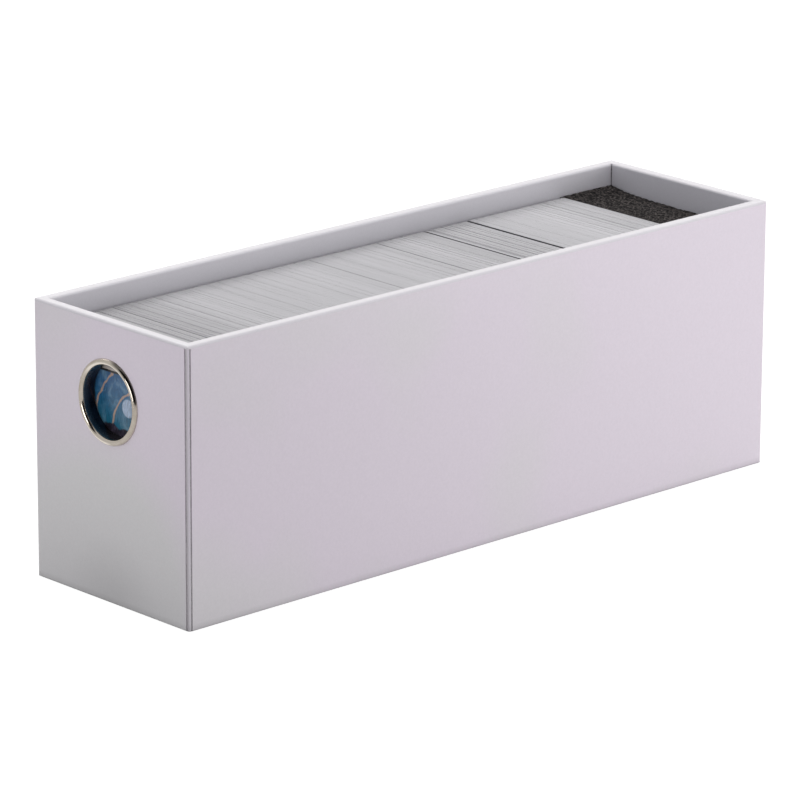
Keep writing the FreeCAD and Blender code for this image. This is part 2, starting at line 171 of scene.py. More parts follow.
def makePearlPaper(name, look):
    material, tree = newMaterial(name)
    place = addNode(tree, "TexCoord", out="Object")
    x, y, z = [addNode(tree, "SeparateXYZ", {0: place}, out=axis) for axis in "XYZ"]
    drift = addNode(tree, "TexNoise", {
        "Vector": place, "Scale": perMetre(look["driftSize"]), "Detail": 1.0, "Roughness": 0.4,
    })
    leaning = addNode(tree, "Math", {0: y, 1: look["driftLean"], 2: drift}, operation="MULTIPLY_ADD")
    near, far = look["driftSpan"]
    pearl = addNode(tree, "MapRange", {"Value": leaning, "From Min": near, "From Max": far})
    spot = tuple(Vector(look["plainSpot"]) * mm)
    away = addNode(tree, "VectorMath", {0: place, 1: spot}, operation="DISTANCE", out="Value")
    near, far = look["plainReach"]
    lacquered = addNode(tree, "MapRange", {"Value": away, "From Min": near * mm, "From Max": far * mm})
    pearl = addNode(tree, "Math", {0: pearl, 1: lacquered}, operation="MULTIPLY")
    tint = addNode(tree, "MixRGB", {"Fac": pearl, "Color1": look["plain"], "Color2": look["lilac"]})
    # the lacquer stops at the rim: the top and the part turned down inside are plain, the part inside in a
    # cooler, darker grey that is partly painted shade, and the roll over the board's edge darker with
    # painted shade
    low, high = trayInside
    inside = 1.0
    for along, least, most in ((x, low.x, high.x), (y, low.y, high.y)):
        over = addNode(tree, "Math", {0: along, 1: least}, operation="GREATER_THAN")
        under = addNode(tree, "Math", {0: along, 1: most}, operation="LESS_THAN")
        within = addNode(tree, "Math", {0: over, 1: under}, operation="MULTIPLY")
        inside = addNode(tree, "Math", {0: within, 1: inside}, operation="MULTIPLY")
    # where the rim's top tone begins, and where the painted shade of the roll begins
    top, shadedRoll = [addNode(tree, "MapRange", {
        "Value": z, "From Min": high.z - deep * mm, "From Max": high.z - shallow * mm,
    }) for deep, shallow in (look["topDepth"], look["rollDepth"])]
    bare = addNode(tree, "Math", {0: inside, 1: shadedRoll}, operation="MAXIMUM")
    plainTint = addNode(tree, "MixRGB", {"Fac": inside, "Color1": look["shadedRoll"], "Color2": look["inside"]})
    plainTint = addNode(tree, "MixRGB", {"Fac": top, "Color1": plainTint, "Color2": look["rim"]})
    tint = addNode(tree, "MixRGB", {"Fac": bare, "Color1": tint, "Color2": plainTint})
    if "grooveShade" in look:
        # painted shade on the narrow flange on the front, beside the groove
        near, far = look["grooveShadeAcross"]
        paintedShade = addNode(tree, "MapRange", {
            "Value": x, "From Min": near * mm, "From Max": far * mm, "To Min": 1.0, "To Max": 0.0,
        })
        tint = addNode(tree, "MixRGB", {"Fac": paintedShade, "Color1": tint, "Color2": look["grooveShade"]})
    fibre = addNode(tree, "TexNoise", {
        "Vector": place, "Scale": perMetre(look["fibreSize"]), "Detail": 3.0, "Roughness": 0.6,
    })
    low, high = look["fibreShade"]
    fleck = addNode(tree, "MapRange", {
        "Value": fibre, "From Min": noiseLow, "From Max": noiseHigh, "To Min": low, "To Max": high,
    })
    # painted shade along the foot, and more of it at the middle of the front's foot
    footHeight, footShade = look["foot"]
    foot = addNode(tree, "MapRange", {"Value": z, "From Max": footHeight * mm, "To Min": footShade})
    # painted shade at the middle of the front's foot
    spot = tuple(Vector(look["paintedFrontShade"]) * mm)
    away = addNode(tree, "VectorMath", {0: place, 1: spot}, operation="DISTANCE", out="Value")
    near, far = look["paintedFrontShadeReach"]
    paintedFrontShade = addNode(tree, "MapRange", {
        "Value": away, "From Min": near * mm, "From Max": far * mm, "To Min": look["paintedFrontShadeLevel"],
    })
    shade = addNode(tree, "Math", {0: foot, 1: paintedFrontShade}, operation="MULTIPLY")
    shade = addNode(tree, "Math", {0: shade, 1: fleck}, operation="MULTIPLY")
    colour = addNode(tree, "VectorMath", {0: tint, "Scale": shade}, operation="SCALE")
    low, high = look["roughness"]
    shine = addNode(tree, "MapRange", {
        "Value": fibre, "From Min": noiseLow, "From Max": noiseHigh, "To Min": low, "To Max": high,
    })
    wrap = addNode(tree, "TexNoise", {
        "Vector": place, "Scale": perMetre(look["wrapSize"]), "Detail": 1.0, "Roughness": 0.3,
    })
    waves = addNode(tree, "Bump", {"Height": wrap, "Distance": look["wrapDepth"] * mm})
    grain = addNode(tree, "Bump", {"Height": fibre, "Distance": look["fibreDepth"] * mm, "Normal": waves})
    dull = addNode(tree, "MapRange", {"Value": bare, "To Max": look["bareRoughness"] - high})
    shine = addNode(tree, "Math", {0: shine, 1: dull}, operation="ADD")
    coat = addNode(tree, "MapRange", {"Value": bare, "To Min": look["coat"], "To Max": 0.0})
    shader = addNode(tree, "BsdfPrincipled", {
        "Base Color": colour, "Roughness": shine, "Normal": grain, "IOR": 1.5,
        "Coat Weight": coat, "Coat Roughness": look["coatRoughness"],
    })
    addNode(tree, "OutputMaterial", {"Surface": shader})
    return material


# Uncoated wood-free paper inside the tray: matte, cool white, with short fibres that show.
# Sizes and depths of the grain in millimetres.
liningPaper = {
    "stops": [(0.3, "#C4C3C9"), (0.6, "#D2D1D6")],
    "grainSize": 0.7,
    "grainDetail": 4.0,
    "grainRoughness": 0.65,
    "grainCurl": 1.5,
    "depth": 0.012,
    "roughness": 0.78,
}

# Grey board pressed from waste paper: soft, matte, full of darker and lighter specks.
greyBoard = {
    "stops": [(0.35, "#948F92"), (0.5, "#ABA7AA"), (0.68, "#BBB7B9")],
    "grainSize": 0.8,
    "grainDetail": 5.0,
    "grainRoughness": 0.7,
    "grainCurl": 0.0,
    "depth": 0.04,
    "roughness": 0.92,
}


def makeBarePaper(name, look):
    material, tree = newMaterial(name)
    place = addNode(tree, "TexCoord", out="Object")
    grain = addNode(tree, "TexNoise", {
        "Vector": place, "Scale": perMetre(look["grainSize"]), "Detail": look["grainDetail"],
        "Roughness": look["grainRoughness"], "Distortion": look["grainCurl"],
    })
    colour = addNode(tree, "ValToRGB", {"Fac": grain}, stops=look["stops"])
    relief = addNode(tree, "Bump", {"Height": grain, "Distance": look["depth"] * mm})
    shader = addNode(tree, "BsdfPrincipled", {
        "Base Color": colour, "Roughness": look["roughness"], "Normal": relief, "IOR": 1.45,
    })
    addNode(tree, "OutputMaterial", {"Surface": shader})
    return material


# Middle of the finger ring, in millimetres.
ringMiddle = (-0.9, 0.0, 71.9)

# Nickel on brass: mirror bright with a warm cast and hairlines from handling, with painted
# reflections: paler along the inner edge at the top and along the bottom, and dull at the
# outer edge on the upper right. Each painted reflection is an arc on one side of the ring's
# middle: "way" points to it, "span" says how far out that way it fades in, and "radius" is
# its own and how far it reaches to each side. Millimetres.
ringNickel = {
    "stops": [(0.35, "#C6BCAE"), (0.6, "#D3CABE")],
    "patchSize": 4.0,
    "scratchSize": 0.35,
    "scratchDepth": 0.002,
    "roughness": (0.07, 0.16),
    "paintedReflections": [
        {"tone": "#FFF6EA", "way": (0.2, 0.0, 0.98), "span": (4.0, 9.0), "radius": (13.3, 0.9)},
        {"tone": "#FFF6EA", "way": (-0.4, 0.0, -0.92), "span": (11.8, 13.4), "radius": (14.4, 0.5)},
        {"tone": "#7A756E", "way": (0.71, 0.0, 0.71), "span": (11.5, 13.5), "radius": (15.2, 0.95)},
    ],
}

# Inside of the barrel: nearly black, with painted reflections that make it bright along its
# upper right and a little paler at its mouth. Depths are places along the drawer.
barrelBrass = {
    "stops": [(0.35, "#2C2B33"), (0.6, "#3F3D47")],
    "patchSize": 3.0,
    "scratchSize": 0.4,
    "scratchDepth": 0.003,
    "roughness": (0.2, 0.3),
    # painted reflection, bright along the upper right
    "paintedReflections": [{"tone": "#CDC3B6", "way": (0.5, 0.0, 0.87), "span": (5.5, 9.0)}],
    "mouthReflection": "#7C7779",
    "mouthReflectionDepth": (-137.4, -139.8),
}

# Zinc on mild steel: duller and cooler than the ring, with a crystalline mottle.
washerZinc = {
    "stops": [(0.35, "#9D9B97"), (0.6, "#B9B7B2")],
    "patchSize": 2.5,
    "scratchSize": 0.5,
    "scratchDepth": 0.004,
    "roughness": (0.3, 0.45),
}


def makePlatedMetal(name, look):
    material, tree = newMaterial(name)
    place = addNode(tree, "TexCoord", out="Object")
    patch = addNode(tree, "TexNoise", {
        "Vector": place, "Scale": perMetre(look["patchSize"]), "Detail": 3.0, "Roughness": 0.55,
    })
    colour = addNode(tree, "ValToRGB", {"Fac": patch}, stops=look["stops"])
    # painted reflection, paler at the mouth of the barrel
    if "mouthReflection" in look:
        y = addNode(tree, "SeparateXYZ", {0: place}, out="Y")
        deep, shallow = look["mouthReflectionDepth"]
        mouthReflection = addNode(tree, "MapRange", {"Value": y, "From Min": deep * mm, "From Max": shallow * mm})
        colour = addNode(tree, "MixRGB", {"Fac": mouthReflection, "Color1": colour, "Color2": look["mouthReflection"]})
    middle = tuple(Vector(ringMiddle) * mm)
    # painted reflections, each an arc fixed on the metal
    for paintedReflection in look.get("paintedReflections", ()):
        offset = addNode(tree, "VectorMath", {0: place, 1: middle}, operation="SUBTRACT")
        along = addNode(tree, "VectorMath", {0: offset, 1: paintedReflection["way"]}, operation="DOT_PRODUCT", out="Value")
        near, far = paintedReflection["span"]
        share = addNode(tree, "MapRange", {"Value": along, "From Min": near * mm, "From Max": far * mm},
                        interpolation_type="SMOOTHSTEP")
        if "radius" in paintedReflection:
            flat = addNode(tree, "VectorMath", {0: offset, 1: (1.0, 0.0, 1.0)}, operation="MULTIPLY")
            radius = addNode(tree, "VectorMath", {0: flat}, operation="LENGTH", out="Value")
            own, reach = paintedReflection["radius"]
            off = addNode(tree, "Math", {0: radius, 1: own * mm}, operation="SUBTRACT")
            off = addNode(tree, "Math", {0: off}, operation="ABSOLUTE")
            # full from halfway in
            within = addNode(tree, "MapRange", {
                "Value": off, "From Min": reach * mm, "From Max": reach / 2 * mm,
            })
            share = addNode(tree, "Math", {0: share, 1: within}, operation="MULTIPLY")
        colour = addNode(tree, "MixRGB", {"Fac": share, "Color1": colour, "Color2": paintedReflection["tone"]})
    smooth, rough = look["roughness"]
    shine = addNode(tree, "MapRange", {
        "Value": patch, "From Min": noiseLow, "From Max": noiseHigh, "To Min": rough, "To Max": smooth,
    })
    scratch = addNode(tree, "TexNoise", {
        "Vector": place, "Scale": perMetre(look["scratchSize"]), "Detail": 2.0, "Distortion": 2.0,
    })
    hairline = addNode(tree, "Bump", {"Height": scratch, "Distance": look["scratchDepth"] * mm})
    shader = addNode(tree, "BsdfPrincipled", {
        "Base Color": colour, "Metallic": 1.0, "Roughness": shine, "Normal": hairline,
    })
    addNode(tree, "OutputMaterial", {"Surface": shader})
    return material


# Guillotined edge of coated card: pale core, grey as painted shade of the tray, each card its
# own shade, and darker towards the wall that the cards slide along, as its painted shadow. Millimetres.
cardEdge = {
    # the streaked tones of the cut, grey as painted shade of the tray round the cards
    "stops": [(0.35, "#A5A5A8"), (0.6, "#ADADB0")],
    "streakLength": 30.0,
    "streakWidth": 0.5,
    "streakDepth": 0.01,
    # painted shadow of the left wall: where it is full, and where it has faded out
    "wallShadowAcross": (-36.0, -25.0),
    "wallShadowLevel": 0.82,
    "roughness": 0.6,
}


def makeCardEdge(name, look):
    material, tree = newMaterial(name)
    place = addNode(tree, "TexCoord", out="Object")
    # long along the cut, short across it
    along, across = perMetre(look["streakLength"]), perMetre(look["streakWidth"])
    stretched = addNode(tree, "VectorMath", {0: place, 1: (along, across, along)}, operation="MULTIPLY")
    streak = addNode(tree, "TexNoise", {"Vector": stretched, "Scale": 1.0, "Detail": 3.0, "Roughness": 0.6})
    cut = addNode(tree, "ValToRGB", {"Fac": streak}, stops=look["stops"])
    tone = addNode(tree, "Attribute", out="Fac", attribute_name="cardTone")
    # painted shadow of the left wall over the cards near it
    x = addNode(tree, "SeparateXYZ", {0: place}, out="X")
    near, far = look["wallShadowAcross"]
    paintedShade = addNode(tree, "MapRange", {
        "Value": x, "From Min": near * mm, "From Max": far * mm, "To Min": look["wallShadowLevel"],
    })
    tone = addNode(tree, "Math", {0: tone, 1: paintedShade}, operation="MULTIPLY")
    colour = addNode(tree, "VectorMath", {0: cut, "Scale": tone}, operation="SCALE")
    ridge = addNode(tree, "Bump", {"Height": streak, "Distance": look["streakDepth"] * mm})
    shader = addNode(tree, "BsdfPrincipled", {
        "Base Color": colour, "Roughness": look["roughness"], "Normal": ridge, "IOR": 1.5,
    })
    addNode(tree, "OutputMaterial", {"Surface": shader})
    return material


# Offset print under a gloss varnish: a made-up dusk over hills, with rings like ripples.
# Heights and distances in millimetres, in the drawer's frame.
cardPrint = {
    "border": "#17181C",
    "band": "#B9B1AB",
    "field": "#C2BDB5",
    "middle": -3.65,
    "halfWidth": 28.5,
    "picture": (47.0, 80.4),
    "bandBottom": 81.2,
    "bandTop": 89.4,
    "fieldBottom": 10.0,
    "fieldTop": 44.0,
    "sky": [(0.1, "#186076"), (0.9, "#23547F")],
    "skyFrom": 57.0,
    "cloud": "#7E9FB4",
    "cloudSize": 7.0,
    "cloudSpan": (0.48, 0.8),
    "cloudMost": 0.8,
    "brushSize": (0.8, 3.2),  # across and upright
    "brushShade": (0.62, 1.4),
    "moon": "#9FB0C6",
    "moonAt": (3.5, 0.0, 69.5),
    "moonSize": (3.4, 3.0),  # where its edge ends, and where it is full
    "ripple": "#B3937E",
    "rippleAt": (12.0, 0.0, 60.0),
    "ripplePitch": 4.6,
    "rippleBend": 3.0,
    "rippleLine": (0.55, 0.25),
    "rippleMost": 0.85,
    "hill": "#14121D",
    "hillGlow": "#655A70",
    "glowSpan": (0.5, 0.75),
    "hillLine": 62.0,
    "hillRise": 6.0,
    "hillSize": 12.0,
    "hillEdge": 0.3,
    # a cliff at the left of the picture, whose dark is also a painted shadow of the ring's barrel
    "cliffShadowFrom": -12.6,
    "cliffShadowSlope": 7.0,
    "roughness": 0.3,
    "coat": 0.4,
    "coatRoughness": 0.15,
    "linenSize": 0.4,
    "linenDepth": 0.004,
}

# Back print under the same varnish: a plain lattice in two inks inside a border.
cardBack = {
    "border": "#23262C",
    "ink": "#2E4A5C",
    "line": "#8FA3A8",
    "middle": (-3.65, 48.45),
    "halfSize": (28.0, 40.7),
    "pitch": 6.0,
    "lineWidth": 0.5,
    "roughness": 0.32,
    "coat": 0.3,
    "coatRoughness": 0.2,
    "linenSize": 0.4,
    "linenDepth": 0.004,
}


def addVarnish(tree, place, colour, look):
    # gloss varnish over a print, with the linen grain of the roller
    grain = addNode(tree, "TexNoise", {"Vector": place, "Scale": perMetre(look["linenSize"]), "Detail": 2.0})
    linen = addNode(tree, "Bump", {"Height": grain, "Distance": look["linenDepth"] * mm})
    shader = addNode(tree, "BsdfPrincipled", {
        "Base Color": colour, "Roughness": look["roughness"], "Normal": linen, "IOR": 1.5,
        "Coat Weight": look["coat"], "Coat Roughness": look["coatRoughness"],
    })
    addNode(tree, "OutputMaterial", {"Surface": shader})


def makeCardPrint(name, look):
    material, tree = newMaterial(name)
    metres = addNode(tree, "TexCoord", out="Object")
    millimetres = addNode(tree, "VectorMath", {0: metres, "Scale": 1.0 / mm}, operation="SCALE")
    seed = addNode(tree, "Attribute", out="Fac", attribute_name="cardSeed")
    apart = addNode(tree, "CombineXYZ", {"Y": seed})
    # flat, so that the print is the same at any depth in the row, and new for each seed
    flat = addNode(tree, "VectorMath", {0: millimetres, 1: (1.0, 0.0, 1.0)}, operation="MULTIPLY")
    place = addNode(tree, "VectorMath", {0: flat, 1: apart}, operation="ADD")
    x, z = [addNode(tree, "SeparateXYZ", {0: flat}, out=axis) for axis in "XZ"]
    bottom, top = look["picture"]
    # sky, with drifting cloud
    height = addNode(tree, "MapRange", {"Value": z, "From Min": look["skyFrom"], "From Max": top})
    sky = addNode(tree, "ValToRGB", {"Fac": height}, stops=look["sky"])
    cloud = addNode(tree, "TexNoise", {
        "Vector": place, "Scale": 1.0 / look["cloudSize"],
        "Detail": 6.0, "Roughness": 0.6, "Distortion": 1.0,
    })
    near, far = look["cloudSpan"]
    veil = addNode(tree, "MapRange", {
        "Value": cloud, "From Min": near, "From Max": far, "To Max": look["cloudMost"],
    })
    picture = addNode(tree, "MixRGB", {"Fac": veil, "Color1": sky, "Color2": look["cloud"]})
    # painted in short upright strokes
    across, upright = look["brushSize"]
    shrunk = (1.0 / across, 1.0, 1.0 / upright)
    strokeWay = addNode(tree, "VectorMath", {0: place, 1: shrunk}, operation="MULTIPLY")
    strokes = addNode(tree, "TexNoise", {
        "Vector": strokeWay, "Scale": 1.0, "Detail": 5.0, "Roughness": 0.65, "Distortion": 1.5,
    })
    dark, bright = look["brushShade"]
    brushed = addNode(tree, "MapRange", {
        "Value": strokes, "From Min": noiseLow, "From Max": noiseHigh, "To Min": dark, "To Max": bright,
    })
    # a moon and the ripples round a point
    toMoon = addNode(tree, "VectorMath", {0: flat, 1: look["moonAt"]}, operation="DISTANCE", out="Value")
    near, far = look["moonSize"]
    moon = addNode(tree, "MapRange", {"Value": toMoon, "From Min": near, "From Max": far})
    picture = addNode(tree, "MixRGB", {"Fac": moon, "Color1": picture, "Color2": look["moon"]})
    picture = addNode(tree, "VectorMath", {0: picture, "Scale": brushed}, operation="SCALE")
    toRipple = addNode(tree, "VectorMath", {0: flat, 1: look["rippleAt"]}, operation="DISTANCE", out="Value")
    bent = addNode(tree, "Math", {0: cloud, 1: look["rippleBend"], 2: toRipple}, operation="MULTIPLY_ADD")
    turn = addNode(tree, "Math", {0: bent, 1: look["ripplePitch"]}, operation="PINGPONG")
    near, far = look["rippleLine"]
    line = addNode(tree, "MapRange", {
        "Value": turn, "From Min": near, "From Max": far, "To Max": look["rippleMost"],
    })
    picture = addNode(tree, "MixRGB", {"Fac": line, "Color1": picture, "Color2": look["ripple"]})
    # hills at the foot, and a cliff at the left, whose dark is also a painted shadow of the ring's barrel
    ridge = addNode(tree, "TexNoise", {
        "Vector": place, "Scale": 1.0 / look["hillSize"], "Detail": 5.0, "Roughness": 0.6,
    })
    rise = look["hillRise"]
    crest = addNode(tree, "Math", {0: ridge, 1: rise * 2, 2: look["hillLine"] - rise},
                    operation="MULTIPLY_ADD")
    leftward = addNode(tree, "Math", {0: look["cliffShadowFrom"], 1: x}, operation="SUBTRACT")
    cliffShadow = addNode(tree, "Math", {0: leftward, 1: 0.0}, operation="MAXIMUM")
    crest = addNode(tree, "Math", {0: cliffShadow, 1: look["cliffShadowSlope"], 2: crest}, operation="MULTIPLY_ADD")
    above = addNode(tree, "Math", {0: crest, 1: z}, operation="SUBTRACT")
    inHills = addNode(tree, "MapRange", {
        "Value": above, "From Min": -look["hillEdge"], "From Max": look["hillEdge"],
    })
    near, far = look["glowSpan"]
    glow = addNode(tree, "MapRange", {"Value": strokes, "From Min": near, "From Max": far})
    hills = addNode(tree, "MixRGB", {"Fac": glow, "Color1": look["hill"], "Color2": look["hillGlow"]})
    picture = addNode(tree, "MixRGB", {"Fac": inHills, "Color1": picture, "Color2": hills})
    # plain panels over and under the picture, and the border round them all
    fromMiddle = addNode(tree, "Math", {0: x, 1: look["middle"]}, operation="SUBTRACT")
    aside = addNode(tree, "Math", {0: fromMiddle}, operation="ABSOLUTE")
    inWidth = addNode(tree, "Math", {0: aside, 1: look["halfWidth"]}, operation="LESS_THAN")
    colour = look["border"]
    for low, high, paint in (
        (look["fieldBottom"], look["fieldTop"], look["field"]),
        (bottom, top, picture),
        (look["bandBottom"], look["bandTop"], look["band"]),
    ):
        over = addNode(tree, "Math", {0: z, 1: low}, operation="GREATER_THAN")
        under = addNode(tree, "Math", {0: z, 1: high}, operation="LESS_THAN")
        between = addNode(tree, "Math", {0: over, 1: under}, operation="MULTIPLY")
        inside = addNode(tree, "Math", {0: between, 1: inWidth}, operation="MULTIPLY")
        colour = addNode(tree, "MixRGB", {"Fac": inside, "Color1": colour, "Color2": paint})
    addVarnish(tree, metres, colour, look)
    return material


def makeCardBack(name, look):
    material, tree = newMaterial(name)
    metres = addNode(tree, "TexCoord", out="Object")
    millimetres = addNode(tree, "VectorMath", {0: metres, "Scale": 1.0 / mm}, operation="SCALE")
    x, z = [addNode(tree, "SeparateXYZ", {0: millimetres}, out=axis) for axis in "XZ"]
    ground = look["ink"]
    # two sets of slanting lines
    for sign in (1.0, -1.0):
        slant = addNode(tree, "Math", {0: x, 1: sign, 2: z}, operation="MULTIPLY_ADD")
        turn = addNode(tree, "Math", {0: slant, 1: look["pitch"]}, operation="PINGPONG")
        line = addNode(tree, "Math", {0: turn, 1: look["lineWidth"]}, operation="LESS_THAN")
        ground = addNode(tree, "MixRGB", {"Fac": line, "Color1": ground, "Color2": look["line"]})
    inside = 1.0
    for value, middle, half in zip((x, z), look["middle"], look["halfSize"]):
        away = addNode(tree, "Math", {0: value, 1: middle}, operation="SUBTRACT")
        aside = addNode(tree, "Math", {0: away}, operation="ABSOLUTE")
        within = addNode(tree, "Math", {0: aside, 1: half}, operation="LESS_THAN")
        inside = addNode(tree, "Math", {0: inside, 1: within}, operation="MULTIPLY")
    colour = addNode(tree, "MixRGB", {"Fac": inside, "Color1": look["border"], "Color2": ground})
    addVarnish(tree, metres, colour, look)
    return material


# Open-cell polyurethane foam, dyed charcoal and sawn: dull struts round black pores.
# Sizes and depth in millimetres.
charcoalFoam = {
    "stops": [(0.46, "#0C0B0C"), (0.56, "#1A1819"), (0.70, "#4E4A48")],
    "cellSize": 2.2,
    "strutReach": 0.3,  # as a share of a cell, from its edge
    "strutRise": 0.12,  # added to the specks, which lie between 0 and 1
    "speckSize": 0.8,
    "depth": 0.2,
    "roughness": 0.95,
    "specular": 0.2,
}


def makeCharcoalFoam(name, look):
    material, tree = newMaterial(name)
    place = addNode(tree, "TexCoord", out="Object")
    cell = addNode(tree, "TexVoronoi", {"Vector": place, "Scale": perMetre(look["cellSize"])},
                   out="Distance", feature="DISTANCE_TO_EDGE")
    speck = addNode(tree, "TexNoise", {
        "Vector": place, "Scale": perMetre(look["speckSize"]), "Detail": 3.0, "Roughness": 0.7,
    })
    strut = addNode(tree, "MapRange", {
        "Value": cell, "From Max": look["strutReach"], "To Min": look["strutRise"], "To Max": 0.0,
    })
    height = addNode(tree, "Math", {0: speck, 1: strut}, operation="ADD")
    colour = addNode(tree, "ValToRGB", {"Fac": height}, stops=look["stops"])
    relief = addNode(tree, "Bump", {"Height": height, "Distance": look["depth"] * mm})
    shader = addNode(tree, "BsdfPrincipled", {
        "Base Color": colour, "Roughness": look["roughness"], "Normal": relief, "IOR": 1.45,
        "Specular IOR Level": look["specular"],
    })
    addNode(tree, "OutputMaterial", {"Surface": shader})
    return material


coverPaperFinish = makePearlPaper("pearlCoatedPaper", pearlPaper)
edgingPaperFinish = makePearlPaper("pearlCoatedPaperStrip", {**pearlPaper, **edgingStrip})
liningPaperFinish = makeBarePaper("uncoatedLiningPaper", liningPaper)
greyBoardFinish = makeBarePaper("pressedGreyBoard", greyBoard)
nickelFinish = makePlatedMetal("polishedNickelPlate", ringNickel)
barrelFinish = makePlatedMetal("darkenedBrass", barrelBrass)
zincFinish = makePlatedMetal("zincPlatedSteel", washerZinc)
cardEdgeFinish = makeCardEdge("cutCardEdge", cardEdge)
cardPrintFinish = makeCardPrint("varnishedCardPrint", cardPrint)
cardBackFinish = makeCardBack("varnishedCardBack", cardBack)
foamFinish = makeCharcoalFoam("openCellFoam", charcoalFoam)

slotFinishes = {
    "grey_board": greyBoardFinish,
    "cover_paper": coverPaperFinish,
    "lining_paper": liningPaperFinish,
    "edging_paper": edgingPaperFinish,
    "ring_metal": nickelFinish,
    "washer_metal": zincFinish,
    "printed_card": cardPrintFinish,
    "card_stock": cardEdgeFinish,
    "foam": foamFinish,
}
for part in frame["record"]["subparts"]:
    meshData = nodes[part["node"]].data
    meshData.materials.clear()
    meshData.materials.append(slotFinishes[part["material_slot"]])


print("stage: finger ring")

# Section of the ring, in millimetres: the bead on the outside of the wall, the barrel
# through it and the end rolled out over the washer.
fingerRing = {
    "bore": 12.9,
    "outside": 15.2,
    "beadHeight": 1.2,
    "beadRound": 1.14,
    "barrel": 13.3,
    "rolled": 14.4,
    "rolledHeight": 0.4,
    "rolledRound": 0.18,
    "roundSteps": 10,
    "turns": 180,
}


def roundedPath(corners, steps):
    # a closed path through (x, y, radius) corners, each rounded by its radius
    path = []
    count = len(corners)
    for index, (x, y, radius) in enumerate(corners):
        here = Vector((x, y))
        before = (Vector(corners[index - 1][:2]) - here).normalized()
        after = (Vector(corners[(index + 1) % count][:2]) - here).normalized()
        if not radius:
            path.append(here)
            continue
        halfAngle = math.acos(max(-1.0, min(1.0, before.dot(after)))) / 2
        centre = here + (before + after).normalized() * (radius / math.sin(halfAngle))
        start = here + before * (radius / math.tan(halfAngle)) - centre
        end = here + after * (radius / math.tan(halfAngle)) - centre
        for step in range(steps + 1):
            share = step / steps
            spoke = (start * (1 - share) + end * share).normalized()
            path.append(centre + spoke * radius)
    return path


def buildFingerRing(look):
    low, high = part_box("pull_ring")
    wallFace = low.y / mm + look["beadHeight"]
    back = high.y / mm - wallFace
    middleX, middleZ = (low.x + high.x) / 2 / mm, (low.z + high.z) / 2 / mm
    curlFront = back - look["rolledHeight"]
    section = roundedPath([
        (look["bore"], -look["beadHeight"], look["beadRound"]),
        (look["outside"], -look["beadHeight"], look["beadRound"]),
        (look["outside"], 0.0, 0.0),
        (look["barrel"], 0.0, 0.0),
        (look["barrel"], curlFront, 0.0),
        (look["rolled"], curlFront, look["rolledRound"]),
        (look["rolled"], back, look["rolledRound"]),
        (look["bore"], back, look["rolledRound"]),
    ], look["roundSteps"])
    points, faces, faceMaterials = [], [], []
    around = len(section)
    for turn in range(look["turns"]):
        angle = 2 * math.pi * turn / look["turns"]
        for radius, depth in section:
            points.append((
                middleX + radius * math.cos(angle), wallFace + depth, middleZ + radius * math.sin(angle),
            ))
        following = (turn + 1) % look["turns"]
        for step in range(around):
            ahead = (step + 1) % around
            faces.append((turn * around + step, turn * around + ahead,
                          following * around + ahead, following * around + step))
            # the last step of the section runs along the bore
            faceMaterials.append(1 if ahead == 0 else 0)
    ring = meshPiece("finger_ring", points, faces, [nickelFinish, barrelFinish], faceMaterials, smooth=True)
    finishPiece(ring, "tray", ["pull_ring"])


buildFingerRing(fingerRing)


print("stage: cards")

# One card, in millimetres, and how a row of them is dealt out.
card = {
    "corner": 3.0,
    "cornerSteps": 5,
    "edgeRound": 0.03,
    "sideSlip": 0.45,
    "looseRoom": 0.15,  # what a pack leaves open between its cards
    "clumping": 3,  # how much of that goes to a few of them
    "follow": 0.6,  # how far a card's height follows the one before it
    "wander": 0.4,
    "wearBias": 4,  # the higher, the fewer cards are worn low
    "mostWorn": 0.9,
    "toneSpread": 0.5,  # of what a pack is said to vary
    "seedSteps": (37.0, 3.1),  # between the prints of two packs, and of two cards
    "frontTone": 0.9,
    "frontSeed": 0.0,
    "firstDice": 100,  # with a pack's number, the seed of its dice
}

